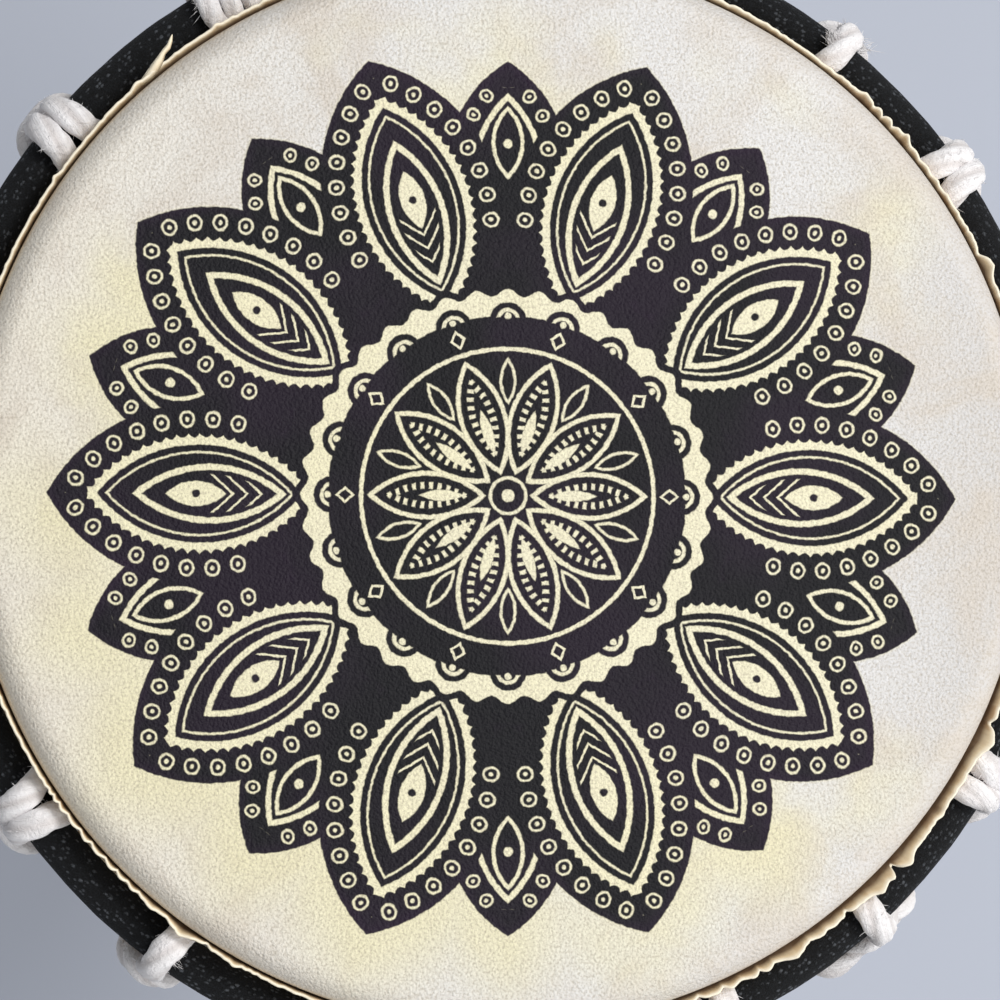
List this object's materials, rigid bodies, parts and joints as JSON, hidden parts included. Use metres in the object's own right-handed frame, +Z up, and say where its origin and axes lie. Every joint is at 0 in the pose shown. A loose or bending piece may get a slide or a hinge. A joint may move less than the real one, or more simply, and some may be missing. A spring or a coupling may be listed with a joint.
{
  "type": "goblet hand drum",
  "caption": "Rope-tuned goblet hand drum: goat skin over a turned wooden shell, held by cloth-wrapped rings, rope hitches and lacing.",
  "frame": {"origin": "middle of the foot's underside, on the drum's axis", "axes": "+Z up along the drum's axis, +X to the picture's right, +Y to its top"},
  "size_m": [0.2313, 0.2307, 0.4],
  "materials": {
    "shell": "oiled turned hardwood",
    "drumhead": "dry goat skin, pebbled, with a dark printed ornament",
    "skin_collar": "dry goat skin, folded and trimmed",
    "rings": "blackened iron rod",
    "ring_cloth": "woven black cloth",
    "rope": "soft white laid rope"
  },
  "bodies": {
    "drum_body": {"shell": "shell", "drumhead": "drumhead", "lower_ring": "rings", "lower_ring_wrap": "ring_cloth", "lacing_rope": "rope"},
    "crown": {"skin_collar": "skin_collar", "flesh_ring": "rings", "crown_ring": "rings", "crown_ring_wrap": "ring_cloth", "top_loop_rope": "rope"}
  },
  "joints": [
    {"name": "crown_slide", "type": "slide", "parent": "drum_body", "child": "crown", "axis": [0, 0, -1], "range_m": [0, 0.004], "deforming": ["lacing_rope"]}
  ]
}
